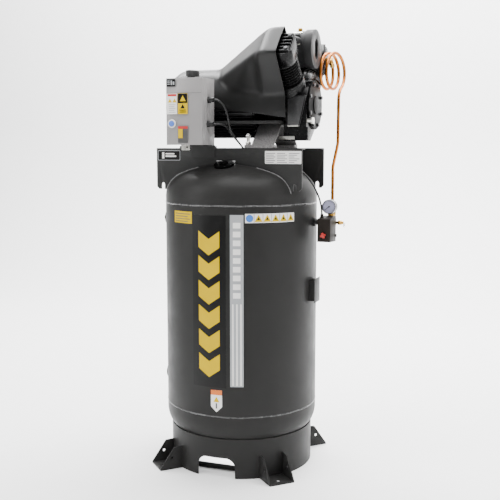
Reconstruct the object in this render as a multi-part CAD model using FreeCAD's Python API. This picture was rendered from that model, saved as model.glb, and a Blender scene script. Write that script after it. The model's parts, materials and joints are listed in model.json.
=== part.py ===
"""Vertical 303 litre air compressor with a direct-drive V-twin pump on top of the tank.

Frame: tank axis on Z, floor at z = 0, shaft axis along X above the tank, -Y is the front.
Millimetres. One STEP file per piece is written to parts/.
"""
import FreeCAD
import Part
import math
import os

V = FreeCAD.Vector
os.makedirs("parts", exist_ok=True)

# ---- driving dimensions: tank and base ----
TANK_R = 305.0            # 24 inch outside diameter
WALL = 5.0
SEAM_LOW = 250.0
SEAM_HIGH = 1058.0
CROWN_R = 0.904 * 2 * TANK_R      # a crown and a knuckle that stand for a 2:1 elliptical head
KNUCKLE_R = 0.173 * 2 * TANK_R
KNUCKLE_AT = TANK_R - KNUCKLE_R
CROWN_BACK = math.sqrt((CROWN_R - KNUCKLE_R) ** 2 - KNUCKLE_AT ** 2)
HEAD_DEPTH = CROWN_R - CROWN_BACK
TOP_TANGENT = SEAM_HIGH + 22.5
LOW_TANGENT = SEAM_LOW - 28.0
RING_R = 287.5
FOOT_REACH = 376.0        # outer edge of a foot, measured along its diagonal
FOOT_HALF = 52.0
FOOT_HIGH = 90.0
ANCHOR_REACH = 343.0      # anchor hole, measured along the diagonal
ANCHOR_R = 8.5
PORT_R = 31.5             # welded half couplings
PORT_PROUD = 24.0
PORT_HIGH_Z = 985.0
OUTLET_Z = 328.0
OUTLET_R = 22.0           # drilled for a 1 1/2 inch pipe thread

# ---- driving dimensions: frame on the top head ----
PLATE_Y = 155.0           # outer face of each frame plate
PLATE_HALF = 301.5
PLATE_TOP = 1272.0
PLATE_LOW = 1110.0
FLANGE_W = 40.0

# ---- driving dimensions: motor and pump ----
SHAFT_Z = 1437.0
SHAFT_R = 19.0
RUN_GAP = 0.05            # radial running clearance
MOTOR_R = 126.0
MOTOR_X0 = -200.0
MOTOR_X1 = 88.0
CASE_X0 = 204.0
CASE_X1 = 300.0
CASE_R = 94.0
CASE_LOW = 1300.0
BANK_TILT = 45.0          # each cylinder leans this far from vertical
FRONT_X = 226.0           # cylinder centres along the shaft
REAR_X = 244.0
BORE_R = 42.5
BARREL_BASE = 125.0       # distances from the shaft along a cylinder axis
BARREL_TOP = 234.0
HEAD_BASE = 240.0
HEAD_TOP = 300.0
HEAD_HALF = 57.0
BARREL_R = 48.0
FIN_R = 55.0
HEAD_BOLTS = [(x, q) for x in (-38, 38) for q in (-36, 36)]
STROKE = 60.0
SHROUD_X0 = -266.0
SHROUD_X1 = 236.0
SHROUD_R = 148.0
SHROUD_R_OPEN = 166.0
SHEET = 3.0
FILTER_Z = 1650.0

# ---- driving dimensions: fittings on the tank's right side ----
PORT_Z = 983.0            # height of the pressure switch manifold
CHECK_X = 346.0
CHECK_Y = 126.0
CHECK_TOP = 1020.0
TUBE_R = 6.35             # half-inch copper tube
COIL_R = 70.0
COIL_CENTRE = V(316.5, 128.0, 1576.0)   # on the coil's axis where the first loop bottoms
COIL_PITCH = 24.0
COIL_LEAN = 10.6          # degrees that the coil's axis turns toward the front

# ---- driving dimensions: starter box ----
BOX_X0 = -188.0
BOX_X1 = -42.0
BOX_Y0 = -298.0
BOX_Y1 = -181.0
BOX_Z0 = 1284.0
BOX_Z1 = 1531.0
CABLE_R = 3.5


# ---- helpers ----
def box(x0, x1, y0, y1, z0, z1):
    return Part.makeBox(x1 - x0, y1 - y0, z1 - z0, V(x0, y0, z0))


def rod(radius, start, end):
    axis = end - start
    return Part.makeCylinder(radius, axis.Length, start, axis)


def pipe(outer, inner, start, end):
    return rod(outer, start, end).cut(rod(inner, start, end))


def prism(points, direction):
    wire = Part.makePolygon(points + [points[0]])
    return Part.Face(wire).extrude(direction)


def hexagon(across, start, end):
    """Hexagonal bar between two points, measured across its flats."""
    axis = (end - start).normalize()
    side = axis.cross(V(0, 0, 1)) if abs(axis.z) < 0.9 else V(1, 0, 0)
    side = side.normalize()
    other = axis.cross(side)
    reach = across / math.sqrt(3)
    corners = []
    for k in range(6):
        a = math.radians(60 * k)
        corners.append(start + side * reach * math.cos(a) + other * reach * math.sin(a))
    return prism(corners, end - start)


def rounded_path(points, bend):
    """Straight runs joined by tangent arcs; bend(shorter_run, turn) gives each arc's radius."""
    edges = []
    radii = []
    here = points[0]
    for before, corner, after in zip(points, points[1:], points[2:]):
        into = (corner - before).normalize()
        out = (after - corner).normalize()
        turn = into.getAngle(out)
        shorter = min((corner - before).Length, (after - corner).Length)
        radius = bend(shorter, turn)
        setback = radius * math.tan(turn / 2)
        first = corner - into * setback
        last = corner + out * setback
        centre = corner + (out - into).normalize() * (radius / math.cos(turn / 2))
        middle = centre + (corner - centre).normalize() * radius
        edges.append(Part.LineSegment(here, first).toShape())
        edges.append(Part.Arc(first, middle, last).toShape())
        radii.append(radius)
        here = last
    edges.append(Part.LineSegment(here, points[-1]).toShape())
    return Part.Wire(edges), radii


def round_bar(points, radius, bend, name):
    """A round bar along a rounded path; its volume is compared with section times length."""
    path, radii = rounded_path(points, bend)
    start = points[0]
    profile = Part.Wire(Part.makeCircle(radius, start, points[1] - start))
    bar = path.makePipeShell([profile], True, False)
    ratio = bar.Volume / (math.pi * radius ** 2 * path.Length)
    print(name, "smallest bend %.1f, volume ratio %.3f" % (min(radii), ratio))
    return bar


def widest(shorter, turn):
    return 0.45 * shorter / math.tan(turn / 2)


def joined(shapes):
    whole = shapes[0]
    for shape in shapes[1:]:
        whole = whole.fuse(shape)
    return whole.removeSplitter()


def save(name, shape):
    shape.exportStep("parts/" + name + ".step")
    print("%-22s %8.0f mm3 solids %d valid %s" % (name, shape.Volume, len(shape.Solids), shape.isValid()))


# ---- tank ----
def head_curve(sign, tangent, offset):
    """Knuckle and crown arcs of a head in the XZ plane, from its wall to the tank's axis."""
    hinge = V(KNUCKLE_AT, 0, tangent)
    below = V(0, 0, tangent - sign * CROWN_BACK)
    lean = math.atan2(CROWN_BACK, KNUCKLE_AT)

    def on(centre, radius, angle):
        return centre + V(radius * math.cos(angle), 0, sign * radius * math.sin(angle))

    knuckle = [on(hinge, KNUCKLE_R - offset, a) for a in (0, lean / 2, lean)]
    crown = [on(below, CROWN_R - offset, a) for a in (lean, (lean + math.pi / 2) / 2, math.pi / 2)]
    return [Part.Arc(*knuckle).toShape(), Part.Arc(*crown).toShape()], knuckle[0], crown[2]


def spun(edges):
    face = Part.Face(Part.Wire(Part.__sortEdges__(edges)))
    return face.revolve(V(0, 0, 0), V(0, 0, 1), 360)


def line(start, end):
    return Part.LineSegment(start, end).toShape()


def dished_head(sign, tangent, seam):
    outer, outer_wall, outer_top = head_curve(sign, tangent, 0)
    inner, inner_wall, inner_top = head_curve(sign, tangent, WALL)
    rim_out = V(TANK_R, 0, seam)
    rim_in = V(TANK_R - WALL, 0, seam)
    sides = [line(outer_top, inner_top), line(inner_wall, rim_in), line(rim_in, rim_out),
             line(rim_out, outer_wall)]
    return spun(outer + inner + sides)


def solid_dome():
    """The top head's outer shape, filled in, for cutting what stands on it."""
    curve, wall, top = head_curve(1, TOP_TANGENT, 0)
    floor = V(TANK_R, 0, SEAM_HIGH)
    middle = V(0, 0, SEAM_HIGH)
    return spun(curve + [line(top, middle), line(middle, floor), line(floor, wall)])


def low_head_z(radius):
    """Height of the bottom head's knuckle at a distance from the axis."""
    return LOW_TANGENT - math.sqrt(KNUCKLE_R ** 2 - (radius - KNUCKLE_AT) ** 2)


def tank():
    low = V(0, 0, SEAM_LOW)
    high = V(0, 0, SEAM_HIGH)
    outlet = rod(OUTLET_R, V(-TANK_R - WALL, 0, OUTLET_Z), V(0, 0, OUTLET_Z))
    save("tank_shell", pipe(TANK_R, TANK_R - WALL, low, high).cut(outlet))
    save("tank_top_head", dished_head(1, TOP_TANGENT, SEAM_HIGH))
    save("tank_bottom_head", dished_head(-1, LOW_TANGENT, SEAM_LOW))


def base():
    inner = RING_R - WALL
    ring = pipe(RING_R, inner, V(0, 0, 0), V(0, 0, low_head_z(inner)))
    half, high, corner = 77.0, 80.0, 38.0
    opening = box(-half, half, -RING_R - 1, -200, -1, high - corner)
    opening = opening.fuse(box(corner - half, half - corner, -RING_R - 1, -200, -1, high))
    for side in (-1, 1):
        centre = V(side * (half - corner), -RING_R - 1, high - corner)
        opening = opening.fuse(rod(corner, centre, V(centre.x, -200, centre.z)))
    save("base_ring", ring.cut(opening))
    brace_y = 195.0
    within = rod(inner, V(0, 0, 0), V(0, 0, 40))
    bars = []
    for side in (-1, 1):
        bar = box(-inner, inner, side * brace_y - 2.5, side * brace_y + 2.5, 0, 20)
        bars.append(bar.common(within))
    save("base_braces", Part.makeCompound(bars))


def foot():
    """A bent U bracket pointing along +X, trimmed to the base ring."""
    inside = RING_R - 30
    outline = [V(inside, 0, 0), V(FOOT_REACH, 0, 0), V(FOOT_REACH, 0, 6),
               V(FOOT_REACH - 58, 0, FOOT_HIGH - 2), V(inside, 0, FOOT_HIGH + 2)]
    sides = []
    for y in (-FOOT_HALF, FOOT_HALF - WALL):
        sides.append(prism([p + V(0, y, 0) for p in outline], V(0, WALL, 0)))
    floor = box(inside, FOOT_REACH, -FOOT_HALF, FOOT_HALF, 0, WALL)
    shape = joined([floor] + sides)
    shape = shape.cut(rod(RING_R, V(0, 0, -1), V(0, 0, 200)))
    shape = shape.cut(rod(ANCHOR_R, V(ANCHOR_REACH, 0, -1), V(ANCHOR_REACH, 0, 10)))
    wall_hole = V(FOOT_REACH - 50, -100, 47)
    return shape.cut(rod(6, wall_hole, wall_hole + V(0, 200, 0)))


def feet():
    names = {45: "foot_rear_right", 135: "foot_rear_left", 225: "foot_front_left", 315: "foot_front_right"}
    bracket = foot()
    for angle, name in names.items():
        turned = bracket.copy()
        turned.rotate(V(0, 0, 0), V(0, 0, 1), angle)
        save(name, turned)


def ports():
    """Welded couplings: a plugged one and the air outlet on the left, and one on the top head."""
    body = rod(TANK_R, V(0, 0, 200), V(0, 0, SEAM_HIGH))
    upper = V(-TANK_R - PORT_PROUD, 0, PORT_HIGH_Z)
    lower = V(-TANK_R - PORT_PROUD, 0, OUTLET_Z)
    inward = V(PORT_PROUD + 20, 0, 0)
    plugged = rod(PORT_R, upper, upper + inward).cut(body)
    plugged = plugged.fuse(hexagon(30, upper - V(9, 0, 0), upper))
    outlet = pipe(PORT_R, OUTLET_R, lower, lower + inward).cut(body)
    save("tank_ports", Part.makeCompound([plugged, outlet, dome_port()]))
    plate = box(322, 325, -50, 25, 667, 763)
    for y in (-50, 22):
        plate = plate.fuse(box(290, 322, y, y + 3, 675, 755))
    save("data_plate_bracket", plate.cut(body).removeSplitter())


def dome_port():
    """Plugged coupling on the front slope of the top head, square to the surface."""
    crown_centre = V(0, 0, TOP_TANGENT - CROWN_BACK)
    normal = V(-6, -172, math.sqrt(CROWN_R ** 2 - 172 ** 2)).normalize()
    centre = crown_centre + normal * CROWN_R
    boss = rod(39, centre - normal * 30, centre + normal * 8).cut(solid_dome())
    return boss.fuse(hexagon(30, centre + normal * 8, centre + normal * 15))


# ---- frame plates ----
def frame_plate(front):
    """One notched plate: an arch that follows the dome, a bent top flange and lifting slots."""
    inner_y = PLATE_Y - WALL
    blank = box(-PLATE_HALF, PLATE_HALF, -PLATE_Y, -inner_y, PLATE_LOW, PLATE_TOP)
    blank = blank.cut(solid_dome())
    slot_x, slot_r, slot_top = 274.5, 7.0, 1136.0
    for side in (-1, 1):
        x = side * slot_x
        blank = blank.cut(box(x - slot_r, x + slot_r, -200, -100, PLATE_LOW - 5, slot_top - slot_r))
        blank = blank.cut(rod(slot_r, V(x, -200, slot_top - slot_r), V(x, -100, slot_top - slot_r)))
        corner = [V(side * PLATE_HALF, -200, PLATE_LOW + 10), V(side * PLATE_HALF, -200, PLATE_LOW),
                  V(side * (PLATE_HALF - 10), -200, PLATE_LOW)]
        blank = blank.cut(prism(corner, V(0, 100, 0)))
    flange = box(-PLATE_HALF, PLATE_HALF, -inner_y, FLANGE_W - PLATE_Y, PLATE_TOP - WALL, PLATE_TOP)
    plate = blank.fuse(flange).removeSplitter()
    if front:
        notch = box(-46, 34, -200, -100, PLATE_LOW, 1224)
        shelf = box(-150, -50, -250, -PLATE_Y, BOX_Z0 - 5, BOX_Z0)
        shelf = shelf.fuse(box(-150, -50, -PLATE_Y - 5, -PLATE_Y, 1236, BOX_Z0 - 5))
        return plate.cut(notch).fuse(shelf).removeSplitter()
    plate.rotate(V(0, 0, 0), V(0, 0, 1), 180)
    return plate


def frame():
    save("frame_plate_front", frame_plate(True))
    save("frame_plate_rear", frame_plate(False))


# ---- supports for the motor and the pump ----
PAD_TOP = 1284.0
DECK_LOW = 1356.0
BASE_LOW = 1364.0
BASE_TOP = 1376.0


def supports():
    web = [V(98, -152, PAD_TOP), V(98, -140, PAD_TOP), V(98, -58, DECK_LOW), V(98, 58, DECK_LOW),
           V(98, 140, PAD_TOP), V(98, 152, PAD_TOP), V(98, 62, BASE_LOW), V(98, -62, BASE_LOW)]
    hat = prism(web, V(90, 0, 0))
    for side in (-1, 1):
        y0, y1 = sorted((side * 115, side * 155))
        hat = hat.fuse(box(70, 188, y0, y1, PLATE_TOP, PAD_TOP))
    save("pump_mount", hat.removeSplitter())
    saddle = box(-198, -186, -150, 150, PLATE_TOP, BASE_LOW)
    saddle = saddle.cut(rod(MOTOR_R, V(-210, 0, SHAFT_Z), V(-170, 0, SHAFT_Z)))
    for side in (-1, 1):
        y0, y1 = sorted((side * 117, side * 155))
        saddle = saddle.fuse(box(-202, -170, y0, y1, PLATE_TOP, PLATE_TOP + 8))
    save("motor_saddle", saddle.removeSplitter())
    window = box(-130, 98, -112, 112, BASE_LOW - 1, BASE_TOP + 1)
    save("pump_base_plate", box(-118, 203, -140, 140, BASE_LOW, BASE_TOP).cut(window))


# ---- motor ----
def on_shaft(x):
    return V(x, 0, SHAFT_Z)


def motor():
    fins = 48
    points = []
    for k in range(fins):
        for offset, radius in ((-0.30, MOTOR_R - 9), (-0.18, MOTOR_R), (0.18, MOTOR_R), (0.30, MOTOR_R - 9)):
            a = 2 * math.pi * (k + offset) / fins
            points.append(V(MOTOR_X0, radius * math.cos(a), SHAFT_Z + radius * math.sin(a)))
    frame_body = prism(points, V(MOTOR_X1 - MOTOR_X0, 0, 0))
    frame_body = frame_body.cut(rod(MOTOR_R - 18, on_shaft(MOTOR_X0), on_shaft(MOTOR_X1)))
    gland_at = V(70, -20, SHAFT_Z - MOTOR_R - 12)
    gland = rod(9, gland_at, gland_at + V(0, 0, 22))
    gland = gland.cut(rod(MOTOR_R - 10, on_shaft(0), on_shaft(100)))
    save("motor_frame", frame_body.fuse(gland))
    hole = rod(SHAFT_R + RUN_GAP, on_shaft(-300), on_shaft(400))
    left = rod(MOTOR_R - 9, on_shaft(MOTOR_X0 - 12), on_shaft(MOTOR_X0))
    left = left.fuse(rod(34, on_shaft(MOTOR_X0 - 12), on_shaft(MOTOR_X0 + 25)))
    save("motor_end_bell", left.cut(hole))
    right = rod(MOTOR_R - 9, on_shaft(MOTOR_X1), on_shaft(MOTOR_X1 + 8))
    right = right.fuse(rod(58, on_shaft(MOTOR_X1 + 8), on_shaft(CASE_X0)))
    right = right.fuse(box(112, 188, -48, 48, BASE_TOP, SHAFT_Z - 30))
    save("pump_adapter", right.cut(hole).removeSplitter())


def rotor():
    """Motor rotor, shaft and the crank, turning as one piece."""
    throw = V(0, 0, STROKE / 2)
    pieces = [rod(SHAFT_R, on_shaft(-258), on_shaft(212)),
              rod(85, on_shaft(-150), on_shaft(60)),
              rod(46, on_shaft(212), on_shaft(222)),
              rod(15, on_shaft(222) + throw, on_shaft(258) + throw),
              rod(46, on_shaft(258), on_shaft(270)),
              rod(SHAFT_R, on_shaft(270), on_shaft(CASE_X1 + 4))]
    save("rotor_crankshaft", joined(pieces))


def fan():
    hub = pipe(30, SHAFT_R, on_shaft(-250), on_shaft(-222))
    blades = []
    for k in range(9):
        blade = box(-250, -222, -2, 2, SHAFT_Z + 26, SHAFT_Z + 132)
        blade.rotate(V(-236, 0, SHAFT_Z + 80), V(0, 0, 1), 35)
        blade.rotate(on_shaft(0), V(1, 0, 0), 40 * k)
        blades.append(blade)
    tip_ring = pipe(136, 128, on_shaft(-242), on_shaft(-230))
    save("cooling_fan", joined([hub, tip_ring] + blades).cut(rod(SHAFT_R, on_shaft(-260), on_shaft(-210))))


# ---- shroud ----
# stations along the shaft: x, the scoop's depth, where its crest and its foot lie across the bank
SCOOP = ((-92, 118, -4, -75), (140, 297, -54, -110), (160, 311, -70, -108), (168, 317, -71, -108),
         (196, 325, -72, -108), (SHROUD_X1, 325, -72, -108))
SCOOP_VALLEY = 81.0


def scoop(inset, reach):
    """Duct around one cylinder bank, along +Z before it is tilted; inset shrinks it on every side."""
    outlines = []
    for x, depth, crest, root in SCOOP:
        at = x + inset
        if x == SHROUD_X1:
            at = reach
        valley = SCOOP_VALLEY - inset
        outlines.append(Part.makePolygon([V(at, root + inset, 0), V(at, crest + inset, depth - inset),
                                          V(at, valley, depth - inset), V(at, valley, 0),
                                          V(at, root + inset, 0)]))
    duct = Part.makeLoft(outlines[:2], True, True)
    for near, far in zip(outlines[1:], outlines[2:]):
        duct = duct.fuse(Part.makeLoft([near, far], True, True))
    return duct


def shroud_solid(inset, reach):
    """Filled shroud: a drum over the motor that opens into one scoop per cylinder bank."""
    drum_end = SHROUD_X0 + inset
    r0 = SHROUD_R - inset
    r1 = SHROUD_R_OPEN - inset + (reach - SHROUD_X1) * 0.05
    points = [V(drum_end, 0, 0), V(drum_end, r0 - 26, 0), V(drum_end + 10, r0 - 8, 0),
              V(drum_end + 30, r0, 0), V(-90, r0, 0), V(reach, r1, 0), V(reach, 0, 0)]
    wire = Part.makePolygon(points + [points[0]])
    solid = Part.Face(wire).revolve(V(0, 0, 0), V(1, 0, 0), 360)
    for tilt in (BANK_TILT, -BANK_TILT):
        duct = scoop(inset, reach)
        if tilt < 0:
            duct = duct.mirror(V(0, 0, 0), V(0, 1, 0))
        duct.rotate(V(0, 0, 0), V(1, 0, 0), tilt)
        solid = solid.fuse(duct)
    return solid


def shroud():
    shell = shroud_solid(0, SHROUD_X1).cut(shroud_solid(SHEET, SHROUD_X1 + 20))
    cut_line = [V(-204, -400, -600), V(-204, -400, -5), V(-90, -400, -5), V(SHROUD_X1 + 5, -400, -51),
                V(SHROUD_X1 + 5, -400, -600)]
    shell = shell.cut(prism(cut_line, V(0, 800, 0)))
    shell = shell.cut(rod(104, V(SHROUD_X0 - 5, 0, 0), V(SHROUD_X0 + 20, 0, 0)))
    for x in (-112, 76, 180):
        along = (x + 90) / (SHROUD_X1 + 90)
        radius = SHROUD_R + max(along, 0) * (SHROUD_R_OPEN - SHROUD_R) - SHEET / 2
        edge = -5 - 46 * max(along, 0)
        wall_y = math.sqrt(radius ** 2 - edge ** 2)
        for side in (-1, 1):
            leg = [V(x, side * 128, BASE_TOP - SHAFT_Z), V(x, side * 139, BASE_TOP - SHAFT_Z),
                   V(x, side * wall_y, edge), V(x, side * (wall_y - 1), edge + 12),
                   V(x, side * (wall_y - 9), edge + 2)]
            shell = shell.fuse(prism(leg, V(14, 0, 0)))
    shell.translate(V(0, 0, SHAFT_Z))
    notch = rod(64, V(214, 0, FILTER_Z), V(SHROUD_X1 + 5, 0, FILTER_Z))
    save("shroud", shell.cut(notch))
    grille = rod(104, V(SHROUD_X0, 0, SHAFT_Z), V(SHROUD_X0 + SHEET, 0, SHAFT_Z))
    for ring in (30, 48, 66, 84):
        slot = pipe(ring + 11, ring, V(SHROUD_X0 - 1, 0, SHAFT_Z), V(SHROUD_X0 + 5, 0, SHAFT_Z))
        for k in range(4):
            arm = box(SHROUD_X0 - 2, SHROUD_X0 + 6, -4, 4, SHAFT_Z - 110, SHAFT_Z + 110)
            arm.rotate(on_shaft(0), V(1, 0, 0), 45 * k)
            slot = slot.cut(arm)
        grille = grille.cut(slot)
    save("inlet_grille", grille)


# ---- pump ----
def tilted(shape, front):
    """Move a shape from its own cylinder frame (axis +Z through the shaft) to its bank."""
    moved = shape.copy()
    if not front:
        moved = moved.mirror(V(0, 0, 0), V(0, 1, 0))
    moved.rotate(V(0, 0, 0), V(1, 0, 0), BANK_TILT if front else -BANK_TILT)
    moved.translate(V(FRONT_X if front else REAR_X, 0, SHAFT_Z))
    return moved


def sump(x0, x1, inset):
    """Oil sump below the crank: deepest at the front, rising toward the rear."""
    side = 78 - inset
    low = CASE_LOW + inset
    outline = [V(x0, -side, SHAFT_Z), V(x0, -side, low), V(x0, -40, low), V(x0, 30, low + 52),
               V(x0, side, low + 90), V(x0, side, SHAFT_Z)]
    return prism(outline, V(x1 - x0, 0, 0))


def crankcase():
    shape = rod(CASE_R, on_shaft(CASE_X0), on_shaft(CASE_X1))
    shape = shape.fuse(sump(CASE_X0, CASE_X1, 0))
    shape = shape.fuse(box(CASE_X0 + 18, CASE_X1, -98, -60, 1352, 1470))
    between = box(CASE_X0, CASE_X1, -300, 300, 1200, 1700)
    hollow = rod(CASE_R - 12, on_shaft(CASE_X0 + 7), on_shaft(CASE_X1))
    hollow = hollow.fuse(sump(CASE_X0 + 7, CASE_X1 - 8, 10))
    for front in (True, False):
        outer_pad = tilted(rod(60, V(0, 0, 40), V(0, 0, BARREL_BASE)), front)
        outer_pad = outer_pad.cut(rod(CASE_R + 1, on_shaft(100), on_shaft(400)).cut(between))
        shape = shape.fuse(outer_pad)
        hollow = hollow.fuse(tilted(rod(45, V(0, 0, 106), V(0, 0, 140)), front))
        hollow = hollow.fuse(tilted(rod(45, V(0, 0, 20), V(0, 0, 110)), front).common(
            box(CASE_X0 + 7, CASE_X1 - 3, -300, 300, 1200, 1700)))
    shape = shape.cut(hollow)
    shape = shape.cut(rod(SHAFT_R + RUN_GAP, on_shaft(CASE_X0 - 5), on_shaft(CASE_X0 + 10)))
    save("crankcase", shape.removeSplitter())
    cover = rod(CASE_R, on_shaft(CASE_X1), on_shaft(CASE_X1 + 8))
    cover = cover.fuse(rod(36, on_shaft(CASE_X1 - 18), on_shaft(CASE_X1 + 12)))
    bearing = rod(SHAFT_R + RUN_GAP, on_shaft(CASE_X1 - 30), on_shaft(CASE_X1 + 4.5))
    save("crankcase_end_cover", cover.cut(bearing))
    left, right, low = CASE_X0 + 20, CASE_X1, 1354
    panel = [V(left, -98, low), V(right - 26, -98, low), V(right, -98, 1470), V(left + 14, -98, 1470),
             V(left, -98, 1456)]
    front_pad = tilted(rod(60.5, V(0, 0, 40), V(0, 0, BARREL_BASE + 10)), True)
    save("inspection_cover", prism(panel, V(0, -6, 0)).cut(front_pad))
    start = V(CASE_X1, -86, 1375)
    bend = start + V(16, 0, 0)
    save("oil_drain", rod(9, start, bend).fuse(hexagon(24, bend, bend + V(10, 0, 0))))


def cylinders():
    barrel = rod(BARREL_R, V(0, 0, BARREL_BASE), V(0, 0, BARREL_TOP))
    barrel = barrel.fuse(rod(60, V(0, 0, BARREL_BASE), V(0, 0, BARREL_BASE + 10)))
    fin_pitch = 11.5
    for k in range(8):
        z = BARREL_BASE + 20 + k * fin_pitch
        barrel = barrel.fuse(rod(FIN_R, V(0, 0, z), V(0, 0, z + 3)))
    barrel = barrel.fuse(rod(FIN_R, V(0, 0, BARREL_TOP - 6), V(0, 0, BARREL_TOP)))
    barrel = barrel.cut(rod(BORE_R, V(0, 0, 100), V(0, 0, 300)))
    valve_plate = head_block(BARREL_TOP, HEAD_BASE, HEAD_HALF - 2)
    head = head_block(HEAD_BASE, HEAD_TOP, HEAD_HALF)
    for q in (-45, -27, -9, 9, 27, 45):
        head = head.fuse(box(7 - HEAD_HALF, HEAD_HALF - 7, q - 2, q + 2, HEAD_TOP, HEAD_TOP + 10))
    for x, q in HEAD_BOLTS:
        head = head.fuse(rod(11, V(x, q, HEAD_TOP), V(x, q, HEAD_TOP + 9)))
    piston = rod(BORE_R - RUN_GAP, V(0, 0, 153), V(0, 0, 203))
    piston = piston.cut(rod(36, V(0, 0, 150), V(0, 0, 193)))
    piston = piston.fuse(rod(10, V(-36, 0, 172), V(36, 0, 172)))
    for front, name in ((True, "front"), (False, "rear")):
        save("cylinder_" + name, tilted(barrel, front))
        save("valve_plate_" + name, tilted(valve_plate, front))
        save("cylinder_head_" + name, tilted(head, front))
        save("piston_" + name, tilted(piston, front))


def head_block(low, high, half):
    """Square block with rounded corners between two distances from the shaft."""
    corner = 30.0
    block = box(-half, half, corner - half, half - corner, low, high)
    block = block.fuse(box(corner - half, half - corner, -half, half, low, high))
    for x in (-1, 1):
        for y in (-1, 1):
            centre = V(x * (half - corner), y * (half - corner), low)
            block = block.fuse(rod(corner, centre, centre + V(0, 0, high - low)))
    return block.removeSplitter()


# ---- intake ----
def intake():
    def at(x):
        return V(x, 0, FILTER_Z)

    drum = rod(60, at(218), at(270))
    for z in (1694.0, 1654.0):
        drum = drum.fuse(box(226, 260, -67, -40, z - 3, z + 5))
    for side in (-1, 1):
        drum = drum.fuse(rod(12, V(256, 0, 1677), V(256, side * 160, 1677)))
    for front in (True, False):
        block = tilted(head_block(HEAD_BASE - 40, HEAD_TOP + 12, HEAD_HALF), front)
        drum = drum.cut(block)
    drum = drum.fuse(rod(5, V(244, 0, 1709), V(244, 0, 1722)))
    drum = drum.fuse(hexagon(14, V(244, 0, 1716), V(244, 0, 1728)))
    drum = drum.cut(rod(56, at(222), at(271)))
    save("intake_manifold", drum)
    canister = rod(62, at(270), at(284)).fuse(rod(74, at(276), at(309)))
    canister = canister.cut(rod(58, at(274), at(306)))
    canister = canister.cut(rod(56, at(265), at(280)))
    canister = canister.cut(box(300, 320, -19, 19, FILTER_Z - 20, FILTER_Z + 20))
    canister = canister.cut(rod(19, V(300, 0, FILTER_Z - 20), V(320, 0, FILTER_Z - 20)))
    canister = canister.cut(rod(19, V(300, 0, FILTER_Z + 20), V(320, 0, FILTER_Z + 20)))
    save("filter_housing", canister)
    save("filter_element", pipe(50, 32, at(222), at(305)))


# ---- discharge ----
def coil_point(turns, radius):
    """Point on the aftercooler coil; turns count from the bottom of the first loop."""
    angle = math.radians(270 - 360 * turns)
    lean = math.radians(COIL_LEAN)
    y = radius * math.cos(angle)
    along = COIL_PITCH * turns + y * math.sin(lean)
    return COIL_CENTRE + V(along, y * math.cos(lean), radius * math.sin(angle))


def discharge_route():
    """From the elbow on the rear head, round the coil and down to the check valve."""
    per_turn = 12
    outside = COIL_R / math.cos(math.pi / per_turn)
    points = [coil_point(-4 / per_turn, COIL_R)]
    for k in range(-3, per_turn * 2):
        points.append(coil_point((k - 0.5) / per_turn, outside))
    drop_x = points[-1].x - 1
    points += [V(drop_x, 114, 1492), V(drop_x, 110, 1290), V(CHECK_X, CHECK_Y, 1195),
               V(CHECK_X, CHECK_Y, CHECK_TOP - 12)]
    return points


def discharge_line():
    points = discharge_route()

    def bend(shorter, turn):
        return 0.49 * shorter / math.tan(turn / 2) if shorter < 45 else min(60.0, widest(shorter, turn))

    save("discharge_tube", round_bar(points, TUBE_R, bend, "discharge tube"))
    return points


def fittings(route):
    """Brass discharge elbow on the rear head, and the check valve on the tank."""
    along = (route[1] - route[0]).normalize()
    corner = route[0] - along * 14
    face = V(REAR_X + HEAD_HALF, corner.y, corner.z)
    elbow = hexagon(20, face, V(corner.x + 9, corner.y, corner.z)).fuse(rod(9, corner, route[0]))
    nut = hexagon(20, route[0] - along * 2, route[0] + along * 14)
    nut = nut.cut(rod(TUBE_R, route[0], route[0] + along * 20))
    save("discharge_elbow", elbow.fuse(nut).removeSplitter())
    centre = V(CHECK_X, CHECK_Y, 975)
    radial = V(CHECK_X, CHECK_Y, 0).normalize()
    body = rod(13, V(CHECK_X, CHECK_Y, 955), V(CHECK_X, CHECK_Y, 1000))
    body = body.fuse(hexagon(26, V(CHECK_X, CHECK_Y, 1000), V(CHECK_X, CHECK_Y, CHECK_TOP)))
    body = body.fuse(rod(10.5, centre, centre - radial * 80))
    body = body.cut(rod(TANK_R, V(0, 0, 900), V(0, 0, 1050)))
    body = body.cut(rod(TUBE_R, V(CHECK_X, CHECK_Y, CHECK_TOP - 12), V(CHECK_X, CHECK_Y, CHECK_TOP + 1)))
    save("check_valve", body)
    points = [V(CHECK_X, CHECK_Y - 13, 990), V(CHECK_X, CHECK_Y - 35, 990),
              V(CHECK_X - 2, CHECK_Y - 60, 1002),
              V(CHECK_X - 4, CHECK_Y - 86, 990), V(CHECK_X - 4, 14, 990)]
    save("unloader_tube", round_bar(points, 3.2, widest, "unloader tube"))


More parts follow.
